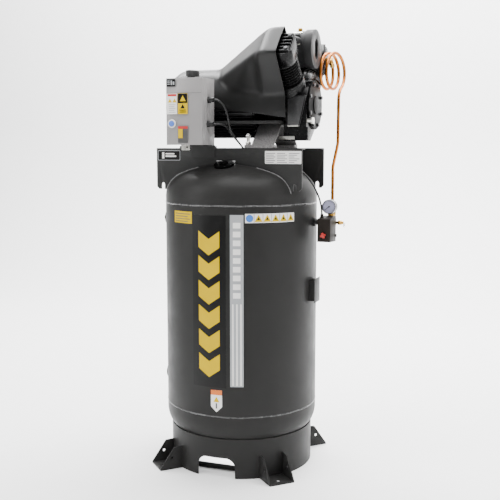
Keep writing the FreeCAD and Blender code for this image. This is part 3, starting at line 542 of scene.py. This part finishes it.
def side_label():
    """A yellow label with four plain rows."""
    left, right = round_tank(-126.7), round_tank(-107.1)
    low, high = 0.988, 1.033
    film("side_label", [rectangle(left, right, low, high)], on_tank, EXTRA["film_yellow"], GROUND)
    count, margin, shorter, pitch = 4, 0.008, 0.012, 0.0095
    row_low, row_high = 1.022, 1.025
    rows = []
    for k in range(count):
        end = right - margin - shorter * (k % 2)
        rows.append(rectangle(left + margin, end, row_low - pitch * k, row_high - pitch * k))
    film("side_label_rows", rows, on_tank, EXTRA["film_grey"], PRINT)


def drain_label():
    """A pointed label above the drain, with a mark and a bar."""
    left, right = round_tank(-91.8), round_tank(-83.4)
    middle = (left + right) / 2
    point, shoulder, head_low, top = 0.269, 0.290, 0.336, 0.355
    outline = [(left, shoulder), (middle, point), (right, shoulder), (right, top), (left, top)]
    film("drain_label", [outline], on_tank, EXTRA["film_white"], GROUND)
    film("drain_label_head", [rectangle(left, right, head_low, top)], on_tank, EXTRA["film_orange"], PRINT)
    film("drain_label_mark", [triangle(middle, 0.318, 0.012)], on_tank, EXTRA["film_yellow"], PRINT)
    half_bar, bar_low, bar_high = 0.003, 0.283, 0.304
    film("drain_label_arrow", [rectangle(middle - half_bar, middle + half_bar, bar_low, bar_high)], on_tank,
         EXTRA["film_grey"], PRINT)


def tank():
    """Seams, printing and rolled edges of the tank and what is welded to it."""
    weld_bead("weld_upper", SEAM_HIGH)
    weld_bead("weld_lower", SEAM_LOW)
    tank_films()
    for node in ("foot_front_left", "foot_front_right", "foot_rear_left", "foot_rear_right"):
        soften(node, 0.0012)
    # The ports get the near-black end cover finish, far darker than the tank's paint they really share:
    # painted shade.
    soften("tank_ports", 0.0006, 1, EXTRA["end_black"])
    soften("data_plate_bracket", 0.0008)


# ---- frame ----
def plate_films():
    """A small plate at the upper left of the front frame plate and a rating label at its right."""
    power_plate(on_front(PLATE_FRONT_Y))
    rating_label(on_front(PLATE_FRONT_Y))


def power_plate(surface):
    """A black plate with a silver border and three plain bars."""
    border = rectangle(-0.2955, -0.199, 1.2235, 1.2625, 0.003)
    field = rectangle(-0.2935, -0.201, 1.2255, 1.2605, 0.002)
    bars = [rectangle(-0.277, -0.268, 1.231, 1.255), rectangle(-0.262, -0.216, 1.237, 1.243),
            rectangle(-0.262, -0.224, 1.247, 1.252)]
    film("power_plate", [border], surface, EXTRA["film_silver"], GROUND)
    film("power_plate_field", [field], surface, EXTRA["film_black"], PRINT)
    film("power_plate_marks", bars, surface, EXTRA["film_white"], OVERPRINT)


def rating_label(surface):
    """A white label with three columns of rows of uneven length."""
    outline = rectangle(0.155, 0.299, 1.213, 1.261, 0.002)
    film("rating_label", [outline], surface, EXTRA["film_white"], GROUND)
    rows = []
    count, top, pitch, thick = 6, 1.2535, 0.0068, 0.0022
    for k in range(count):
        z = top - pitch * k
        rows.append(rectangle(0.159, 0.196 - 0.006 * (k % 2), z - thick, z))
        rows.append(rectangle(0.203, 0.243 - 0.008 * ((k + 1) % 2), z - thick, z))
        rows.append(rectangle(0.250, 0.292 - 0.010 * (k % 3), z - thick, z))
    film("rating_label_rows", rows, surface, EXTRA["film_grey"], PRINT)


def frame_steel():
    """Plates and brackets between the tank and the machinery."""
    soften("frame_plate_front", 0.0016)
    soften("frame_plate_rear", 0.0016)
    soften("pump_mount", 0.003)
    soften("motor_saddle", 0.002)
    soften("pump_base_plate", 0.002)
    arch_weld()
    plate_films()


# ---- starter box ----
def starter():
    """The starter box with its button, cap and tab."""
    soften("starter_box", 0.003)
    soften("starter_cover", 0.004, 3)
    soften("box_glands", 0.0012)
    box_films()
    x0, y, z0 = BOX_LOW
    button_low, button_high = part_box("reset_button")
    centre = (button_low + button_high) / 2
    place, front = (centre.x, y, centre.z), (0, -1, 0)
    lathe("button_bezel", [(0, 0.0115), (0.0030, 0.0115), (0.0040, 0.0125), (0.0034, 0.0152), (0, 0.0162)],
          place, front, EXTRA["bezel_white"], 48, closed=True)
    lathe("button_cap", [(0.0033, 0.0), (0.0033, 0.0106), (0.0058, 0.0106), (0.0068, 0.0094), (0.0071, 0.0)],
          place, front, MATERIALS["button_blue"], 48, "button")
    ridged_cap("box_top_cap", Vector((x0 + 0.089, y + 0.060, BOX_HIGH.z + 0.006)), 0.0205, 0.025)
    plate_tab("box_tab", Vector((x0 + 0.068, y + 0.028, z0)))


def box_films():
    """A dark grey line along the cover's seam, a painted shadow in the joint, and everything printed on the
    front of the starter box.
    """
    x0, y, _ = BOX_LOW
    z1 = BOX_HIGH.z
    surface = on_front(y)

    def from_corner(left, right, top, bottom, corner=0.001):
        """A rectangle given by distances in mm from the box's upper left corner."""
        return rectangle(x0 + left * MM, x0 + right * MM, z1 - bottom * MM, z1 - top * MM, corner)

    # The seam line is dark grey film: a painted shadow in the joint between the cover and the box.
    film("box_seam_painted_shadow", [from_corner(2, 144, 55.2, 56.2, 0)], surface, EXTRA["film_grey"], 0.0001)
    film("box_badge", [from_corner(3, 39, 4, 31)], surface, EXTRA["film_black"])
    bars = [from_corner(7, 17, 9 + 6 * k, 12 + 6 * k, 0) for k in range(3)]
    bars.append(from_corner(21, 27, 9, 25, 0))
    bars.append(from_corner(30, 36, 13, 25, 0))
    film("box_badge_marks", bars, surface, EXTRA["film_silver"], BOX_PRINT)
    film("box_note", [from_corner(4, 46, 57, 133)], surface, EXTRA["film_white"])
    film("box_note_head", [from_corner(8, 44, 59, 67, 0)], surface, EXTRA["film_red"], BOX_PRINT)
    pair = [triangle(x0 + u * MM, z1 - 0.083, 0.0085) for u in (17, 36)]
    film("box_note_shapes", pair, surface, EXTRA["film_yellow"], BOX_PRINT)
    rows = [from_corner(12, 40 - 5 * (k % 2), 97 + 7 * k, 99 + 7 * k, 0) for k in range(5)]
    film("box_note_rows", rows, surface, EXTRA["film_silver"], BOX_PRINT)
    film("box_panel", [from_corner(49, 89, 57, 133)], surface, EXTRA["film_yellow"])
    film("box_panel_head", [from_corner(50, 88, 58, 93, 0)], surface, EXTRA["film_black"], BOX_PRINT)
    film("box_panel_shape", [triangle(x0 + 0.070, z1 - 0.076, 0.012)], surface,
         EXTRA["film_yellow"], BOX_OVERPRINT)
    rows = [from_corner(56, 82, 117 + 7 * k, 120 + 7 * k, 0) for k in range(2)]
    film("box_panel_rows", rows, surface, EXTRA["film_black"], BOX_PRINT)
    film("box_panel_mark", [triangle(x0 + 0.069, z1 - 0.105, 0.009)], surface, EXTRA["film_black"], BOX_PRINT)
    film("box_tag", [from_corner(49, 89, 178, 240)], surface, EXTRA["film_grey"])
    film("box_tag_head", [from_corner(49, 89, 178, 187, 0)], surface, EXTRA["film_red"], BOX_PRINT)
    film("box_tag_side", [from_corner(50, 68, 188, 222, 0)], surface, EXTRA["film_yellow"], BOX_PRINT)


def ridged_cap(name, base, radius, height):
    """A black cap with gripping ridges and a rounded top."""
    ridges, points_each, proud, ridge_end = 28, 6, 0.05, 0.9
    count = ridges * points_each
    profile = ((0, 0.94), (0.05, 1.0), (0.8, 1.0), (0.93, 0.95), (1.0, 0.82))
    bm = bmesh.new()
    rings = []
    for along, scale in profile:
        ring = []
        for k in range(count):
            a = 2 * math.pi * k / count
            grip = proud * (0.5 + 0.5 * math.cos(a * ridges)) if 0 < along < ridge_end else 0.0
            r = radius * (scale - proud + grip)
            ring.append(bm.verts.new(base + Vector((r * math.cos(a), r * math.sin(a), along * height))))
        rings.append(ring)
    bridge(bm, rings, capped=True)
    add_piece(name, mesh_of(name, bm), MATERIALS["gland_plastic"])


def plate_tab(name, corner):
    """A zinc tab with a hole, hanging from the box's shelf in front of the frame plate."""
    width, high, thick, hole = 0.034, 0.020, 0.0025, 0.0038
    above, gap = 0.004, 0.0005
    outline = rectangle(-width / 2, width / 2, -high, above, 0.003)
    bm = bmesh.new()
    edges = []
    for points in (outline, disc(0.006, -0.009, hole, 20)):
        verts = [bm.verts.new((u, 0, v)) for u, v in points]
        for a, b in zip(verts, verts[1:] + verts[:1]):
            edges.append(bm.edges.new((a, b)))
    bmesh.ops.triangle_fill(bm, edges=edges, use_beauty=True)
    thicken(bm, (0, -thick, 0))
    for vert in bm.verts:
        vert.co += corner + Vector((0, -gap, 0))
    add_piece(name, mesh_of(name, bm), EXTRA["bright_zinc"])


# ---- shroud ----
SHROUD_WALL = 0.003
END_CUT = 0.004          # how far the left end of the melted block is cut back
DRUM_END_X = -0.090      # where the drum's straight part ends and its flare begins
MELT_VOXEL = 0.0045
MELT_PASSES = 75


def shroud():
    """The moulded cover: drum and two scoops melted together, then trimmed to its open edges."""
    end = SHROUD_LOW.x
    rim = SHROUD_HIGH.x
    bm = bmesh.new()
    bm.from_mesh(melted_block(end, rim))
    slice_at(bm, (rim, 0, 0), (1, 0, 0), drop_outer=True)
    slice_at(bm, (end + END_CUT, 0, 0), (-1, 0, 0), drop_outer=True)
    trim_below(bm)
    skin = bpy.data.meshes.new("shroud_skin")
    bm.to_mesh(skin)
    bm.free()
    piece = bpy.data.objects.new("shroud_cover", skin)
    bpy.context.scene.collection.objects.link(piece)
    thick = piece.modifiers.new("thick", "SOLIDIFY")
    thick.thickness = SHROUD_WALL
    thick.offset = -1
    solid = evaluated(piece)
    piece.modifiers.clear()
    piece.data = solid
    solid.materials.clear()
    solid.materials.append(MATERIALS["shroud_plastic"])
    solid.shade_smooth()
    mark_sharp(solid, math.radians(50))
    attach(piece, ROOT)
    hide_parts("shroud")
    lathe("shroud_end_ring", [(0.0, 0.104), (0.0, 0.116), (0.0015, 0.122), (0.006, 0.131), (0.008, 0.131),
                              (0.008, 0.104)],
          (end, 0, SHAFT_Z), (1, 0, 0), MATERIALS["shroud_plastic"], 96, closed=True)


def melted_block(end, rim):
    """Drum and scoops as one closed mesh with eased edges, running a little past the open rim."""
    past = rim + 0.03
    segments = 96
    centre_r = 0.0001
    drum = [(end, centre_r), (end, 0.112), (end + 0.010, 0.137), (end + 0.032, 0.148), (DRUM_END_X, 0.148),
            (rim, 0.166), (past, 0.1676), (past, centre_r)]
    bm = bmesh.new()
    rings = []
    for x, radius in drum:
        ring = []
        for k in range(segments):
            a = 2 * math.pi * k / segments
            ring.append(bm.verts.new((x, radius * math.cos(a), SHAFT_Z + radius * math.sin(a))))
        rings.append(ring)
    bridge(bm, rings, capped=True)
    for side in (-1, 1):
        scoop_solid(bm, side, past)
    block = bpy.data.objects.new("shroud_block", mesh_of("shroud_block", bm))
    bpy.context.scene.collection.objects.link(block)
    melt = block.modifiers.new("melt", "REMESH")
    melt.mode = "VOXEL"
    melt.voxel_size = MELT_VOXEL
    ease = block.modifiers.new("ease", "SMOOTH")
    ease.factor = 0.5
    ease.iterations = MELT_PASSES
    melted = evaluated(block)
    bpy.data.objects.remove(block)
    return melted


def bank_point(x, side, out, across):
    """A point given along the shaft, out along a cylinder's axis, and across it toward the valley."""
    root = math.sqrt(0.5)
    y = side * (out - across) * root
    z = (out + across) * root
    return Vector((x, y, SHAFT_Z + z))


def scoop_solid(bm, side, past):
    """One duct as a run of closed outlines along X; a station is (x, depth, crest, root)."""
    valley = 0.081
    stations = ((-0.092, 0.118, -0.004, -0.075), (0.140, 0.297, -0.054, -0.110),
                (0.160, 0.311, -0.070, -0.108), (0.168, 0.317, -0.071, -0.108),
                (0.196, 0.325, -0.072, -0.108), (past, 0.325, -0.072, -0.108))
    rings = []
    for x, depth, crest, root in stations:
        corners = ((0.0, root), (depth, crest), (depth, valley), (0.0, valley))
        rings.append([bm.verts.new(bank_point(x, side, out, across)) for out, across in corners])
    bridge(bm, rings, capped=True)


def trim_below(bm):
    """Open the cover's underside along its sloping lower edge, leaving the end ring whole."""
    ring_x, slope_x, drop = -0.204, DRUM_END_X, 0.046
    level = SHAFT_Z - 0.005
    run = SHROUD_HIGH.x - slope_x
    for point, normal in (((ring_x, 0, 0), (1, 0, 0)), ((slope_x, 0, 0), (1, 0, 0)),
                          ((0, 0, level), (0, 0, 1)), ((slope_x, 0, level), (drop, 0, run))):
        slice_at(bm, point, Vector(normal).normalized())
    hair = 0.00001
    doomed = []
    for face in bm.faces:
        middle = face.calc_center_median()
        edge = level - drop * max(0.0, middle.x - slope_x) / run
        if middle.x > ring_x - hair and middle.z < edge - hair:
            doomed.append(face)
    bmesh.ops.delete(bm, geom=doomed, context="FACES")


# ---- pump ----
def pump():
    """Rolled edges on the pump's castings, and the bright fittings on them, some of which are painted
    highlights.
    """
    soften("crankcase", 0.006, 3)
    soften("crankcase_end_cover", 0.004, 3, EXTRA["end_black"])
    soften("inspection_cover", 0.0016, 2, EXTRA["cover_grain"])
    soften("pump_adapter", 0.003)
    for side in ("front", "rear"):
        soften("cylinder_head_" + side, 0.0022, 2)
        soften("cylinder_" + side, 0.0008, 1)
    soften("intake_manifold", 0.003)
    soften("filter_housing", 0.003)
    soften("fasteners", 0.0006, 1)
    soften("oil_drain", 0.001, 2, EXTRA["bright_zinc"])
    pump_fittings()


def rounded_block(name, low, high, roll, material):
    """A small block with rolled edges between two corners."""
    bm = bmesh.new()
    bmesh.ops.create_cube(bm, size=1.0)
    for vert in bm.verts:
        vert.co = Vector([low[k] + (vert.co[k] + 0.5) * (high[k] - low[k]) for k in range(3)])
    bmesh.ops.bevel(bm, geom=bm.edges[:], offset=roll, segments=3, profile=0.5, affect="EDGES")
    return add_piece(name, mesh_of(name, bm), material)


def hexagon_head(name, base, axis, across, height, material):
    """A hexagon head whose corners are chamfered off at the top."""
    corner = across / math.sqrt(3)
    bm = bmesh.new()
    turn = Vector(axis).to_track_quat("Z", "Y").to_matrix()
    rings = []
    for along, scale in ((0.0, 1.0), (height * 0.82, 1.0), (height, 0.86)):
        ring = []
        for k in range(6):
            a = math.pi * k / 3
            ring.append(bm.verts.new(Vector(base) + turn @ Vector((corner * scale * math.cos(a),
                                                                   corner * scale * math.sin(a), along))))
        rings.append(ring)
    bridge(bm, rings, capped=True)
    return add_piece(name, mesh_of(name, bm), material, smooth_angle=20)


def tube(name, points, radius, material, closed=False, sides=10, ripple=0.0):
    """A round bead along points, with an optional ripple in its thickness."""
    bm = bmesh.new()
    count = len(points)
    rings = []
    for k, point in enumerate(points):
        before = points[k - 1] if closed or k else point
        after = points[(k + 1) % count] if closed or k < count - 1 else point
        turn = (after - before).to_track_quat("Z", "Y").to_matrix()
        r = radius * (1 + ripple * math.sin(k * 2.1) + ripple * 0.6 * math.sin(k * 0.7))
        if not closed and k in (0, count - 1):
            r = radius * 0.5
        rings.append([bm.verts.new(point + turn @ Vector((r * math.cos(2 * math.pi * n / sides),
                                                          r * math.sin(2 * math.pi * n / sides), 0)))
                      for n in range(sides)])
    bridge(bm, rings, closed, capped=not closed)
    return add_piece(name, mesh_of(name, bm), material)


def pump_fittings():
    """Bright clips, caps and lips on the black castings; the clips and lips are painted highlights."""
    filter_fittings()
    mount_nuts()
    cap_foot, up, across, height = (0.244, 0, 1.7185), (0, 0, 1), 0.0155, 0.0125
    hexagon_head("drum_cap", cap_foot, up, across, height, MATERIALS["brass"])
    cover_rim()


def filter_fittings():
    """A sleeve round the filter housing, held by two clips on its front; the clips are bright zinc, a painted
    highlight on the housing's lugs.
    """
    filter_low, filter_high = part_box("filter_housing")
    axis_z = (filter_low.z + filter_high.z) / 2
    reach, wall, length, edge = 0.069, 0.011, 0.042, 0.002
    lathe("filter_sleeve", [(0.0, reach - wall), (0.0, reach - edge), (edge, reach), (length - edge, reach),
                            (length, reach - edge), (length, reach - wall)],
          (0.234, 0, axis_z), (1, 0, 0), MATERIALS["filter_plastic"], 96, closed=True)
    half, proud, inset = 0.0055, 0.0022, 0.002
    # Two bright zinc clips: painted highlights on the lugs of the filter housing.
    for name, angle in (("upper", 59), ("lower", 13)):
        clip = rounded_block("filter_clip_highlight_" + name, (0.226, -reach - proud, axis_z - half),
                             (0.264, -reach + inset, axis_z + half), 0.0015, EXTRA["bright_zinc"])
        clip.data.transform(Matrix.Translation((0, 0, axis_z)) @ Matrix.Rotation(math.radians(-angle), 4, "X")
                            @ Matrix.Translation((0, 0, -axis_z)))


def mount_nuts():
    """Two nuts and a stud end on each side of the pump mount."""
    zinc, slot, up = EXTRA["bright_zinc"], "bolt_steel", (0, 0, 1)
    nut_z, stud_z, lock_z = 1.2842, 1.2955, 1.3105
    stud = [(0, 0.0), (0, 0.0064), (0.0295, 0.0064), (0.0310, 0.0052), (0.0312, 0.0)]
    for name, side in (("front", -1), ("rear", 1)):
        x, y = 0.080, side * 0.135
        hexagon_head("mount_nut_" + name, (x, y, nut_z), up, 0.0198, 0.0118, zinc)
        hexagon_head("mount_lock_" + name, (x, y, lock_z), up, 0.0178, 0.0110, zinc)
        lathe("mount_stud_" + name, stud, (x, y, stud_z), up, zinc, 24)


def cover_rim():
    """The inspection cover's rim and lip, and the lip on the sump under it; both lips are bright zinc bars,
    painted highlights on the black castings.
    """
    zinc = EXTRA["bright_zinc"]
    low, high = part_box("inspection_cover")
    y = low.y
    # Bright zinc bars along the cover's lower edge and the sump's front: painted highlights.
    rounded_block("cover_lip_painted_highlight", (low.x + 0.004, y - 0.003, low.z - 0.001),
                  (high.x - 0.030, y + 0.001, low.z + 0.005), 0.0012, zinc)
    case_low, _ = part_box("crankcase")
    rounded_block("sump_lip_painted_highlight", (case_low.x + 0.020, -0.0815, case_low.z + 0.004),
                  (case_low.x + 0.082, -0.0775, case_low.z + 0.018), 0.0015, zinc)
    inset, corner = 0.002, 0.015
    outline = [(low.x + inset, low.z + inset), (high.x - 0.027, low.z + inset),
               (high.x - 0.003, high.z - inset), (low.x + corner, high.z - inset),
               (low.x + inset, high.z - corner)]
    points = []
    steps = 12
    for (u0, v0), (u1, v1) in zip(outline, outline[1:] + outline[:1]):
        for k in range(steps):
            t = k / steps
            points.append(Vector((u0 + (u1 - u0) * t, y, v0 + (v1 - v0) * t)))
    tube("cover_rim", points, 0.0013, MATERIALS["pump_paint"], closed=True, sides=8)


def arch_weld():
    """Weld runs where the arched plates land on the dome, at each end of each arch, in a weld finish lighter
    than the seams': a painted highlight.
    """
    dome = frame["nodes"]["tank_top_head"]
    into = dome.matrix_world.inverted()
    steps, start, length, above, proud = 60, 0.120, 0.142, 1.6, 0.0012
    for face, sign in (("front", -1), ("rear", 1)):
        y = sign * (abs(PLATE_FRONT_Y) + proud)
        for end, side in (("left", -1), ("right", 1)):
            points = []
            for k in range(steps):
                x = side * (start + length * k / (steps - 1))
                hit, place, _, _ = dome.ray_cast(into @ Vector((x, y, above)), Vector((0, 0, -1)))
                if hit:
                    points.append(dome.matrix_world @ place)
            tube("arch_weld_%s_%s" % (face, end), points, 0.0024, EXTRA["weld_painted_highlight"],
                 sides=10, ripple=0.15)


# ---- switch group ----
def switch():
    """Pressure switch, its fittings and the gauge's dial."""
    soften("switch_cover", 0.003, 3)
    soften("switch_base", 0.0015)
    small_knob()
    soften("switch_manifold", 0.0015)
    soften("check_valve", 0.0008)
    soften("safety_valve", 0.0005)
    soften("discharge_elbow", 0.0008)
    nut_foot, up, across, height = (0.373, -0.003, 1.0075), (0, 0, 1), 0.0185, 0.011
    hexagon_head("gauge_nut", nut_foot, up, across, height, MATERIALS["brass"])
    dial()


def small_knob():
    """The red knob with rolled edges, drawn in a little toward its own axis."""
    shrink = 0.84
    knob = soften("switch_knob", 0.0012, 2)
    knob_low, knob_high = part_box("switch_knob")
    centre = (knob_low + knob_high) / 2
    for vert in knob.data.vertices:
        for k in (0, 2):
            vert.co[k] = centre[k] + shrink * (vert.co[k] - centre[k])


def dial():
    """A pale dial behind the lens, with a long tick at every fifth mark."""
    low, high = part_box("gauge_lens")
    centre = (low + high) / 2
    radius = (high.x - low.x) / 2
    surface = on_front(low.y + 0.0055)

    def polar(radius_at, angle):
        a = math.radians(angle)
        return centre.x + radius_at * math.cos(a), centre.z + radius_at * math.sin(a)

    film("dial_face", [disc(centre.x, centre.z, radius * 0.985, 64)], surface, EXTRA["dial_face"], 0.0)
    ticks = []
    marks, first, sweep = 40, 222, 264
    outer = radius * 0.9
    for k in range(marks + 1):
        angle = first - sweep * k / marks
        long_tick = k % 5 == 0
        inner = radius * (0.74 if long_tick else 0.82)
        half = 0.9 if long_tick else 0.5
        ticks.append([polar(inner, angle - half), polar(outer, angle - half * 0.8),
                      polar(outer, angle + half * 0.8), polar(inner, angle + half)])
    film("dial_ticks", ticks, surface, EXTRA["film_black"], BOX_GROUND)


# ---- stage ----
def stage():
    """A pale paper floor that curves up behind the object."""
    half, turn_y, turn_r, top, steps = 14.0, 2.6, 1.6, 9.0, 12
    bm = bmesh.new()
    profile = [(-half, 0.0), (turn_y, 0.0)]
    for k in range(1, steps + 1):
        a = math.radians(90 * k / steps)
        profile.append((turn_y + turn_r * math.sin(a), turn_r - turn_r * math.cos(a)))
    profile.append((turn_y + turn_r, top))
    rows = [[bm.verts.new((x, y, z)) for x in (-half, half)] for y, z in profile]
    for low, high in zip(rows, rows[1:]):
        bm.faces.new((low[0], low[1], high[1], high[0]))
    mesh = bpy.data.meshes.new("floor")
    bm.to_mesh(mesh)
    bm.free()
    floor = bpy.data.objects.new("floor", mesh)
    bpy.context.scene.collection.objects.link(floor)
    mesh.materials.append(finish_of("paper_floor", (0.92, 0.92, 0.92), 0.8, vary=0.01, strength=0.02))
    mesh.shade_smooth()


# name, size, power, place, target
LAMPS = (
    ("key_left", (1.4, 3.0), 90.0, (-2.6, -2.2, 2.2), (0, 0, 0.9)),
    ("fill_right", (0.9, 3.0), 30.0, (3.0, -1.0, 1.8), (0, 0, 0.9)),
    ("top_soft", (2.5, 2.0), 150.0, (0.2, -0.6, 3.6), (0, 0, 1.2)),
    ("base_fill", (0.36, 0.36), 2.5, (0.0, 0.0, 0.066), (0, 0, 0)),
    ("back_wash", (7.0, 2.0), 1400.0, (0.0, 1.9, 5.2), (0, 4.1, 0.8)),
)


def light(name, size, power, place, target):
    """A soft rectangular lamp that faces a target."""
    data = bpy.data.lights.new(name, "AREA")
    data.shape = "RECTANGLE"
    data.size, data.size_y = size
    data.energy = power
    lamp = bpy.data.objects.new(name, data)
    bpy.context.scene.collection.objects.link(lamp)
    lamp.location = place
    lamp.rotation_euler = (Vector(target) - Vector(place)).to_track_quat("-Z", "Y").to_euler()


def studio():
    """A white surround and the lamps."""
    world = bpy.data.worlds.new("studio")
    bpy.context.scene.world = world
    world.use_nodes = True
    surround = world.node_tree.nodes["Background"]
    surround.inputs["Color"].default_value = (1.0, 1.0, 1.0, 1.0)
    surround.inputs["Strength"].default_value = 0.55
    for lamp in LAMPS:
        light(*lamp)


def camera():
    """A camera to the right of the front, a little above the top of the tank."""
    place, tilt, turn, lens = (1.23302, -3.23393, 1.27975), 83.06, 20.30, 61.5
    data = bpy.data.cameras.new("camera")
    data.sensor_width = 36.0
    data.lens = lens
    eye = bpy.data.objects.new("camera", data)
    bpy.context.scene.collection.objects.link(eye)
    eye.location = place
    eye.rotation_euler = (math.radians(tilt), 0.0, math.radians(turn))
    bpy.context.scene.camera = eye


# ---- the whole scene ----
for node, cad in frame["nodes"].items():
    cad.data.materials.clear()
    cad.data.materials.append(MATERIALS[SLOT_OF[node]])
camera()
studio()
stage()
tank()
frame_steel()
starter()
shroud()
pump()
switch()
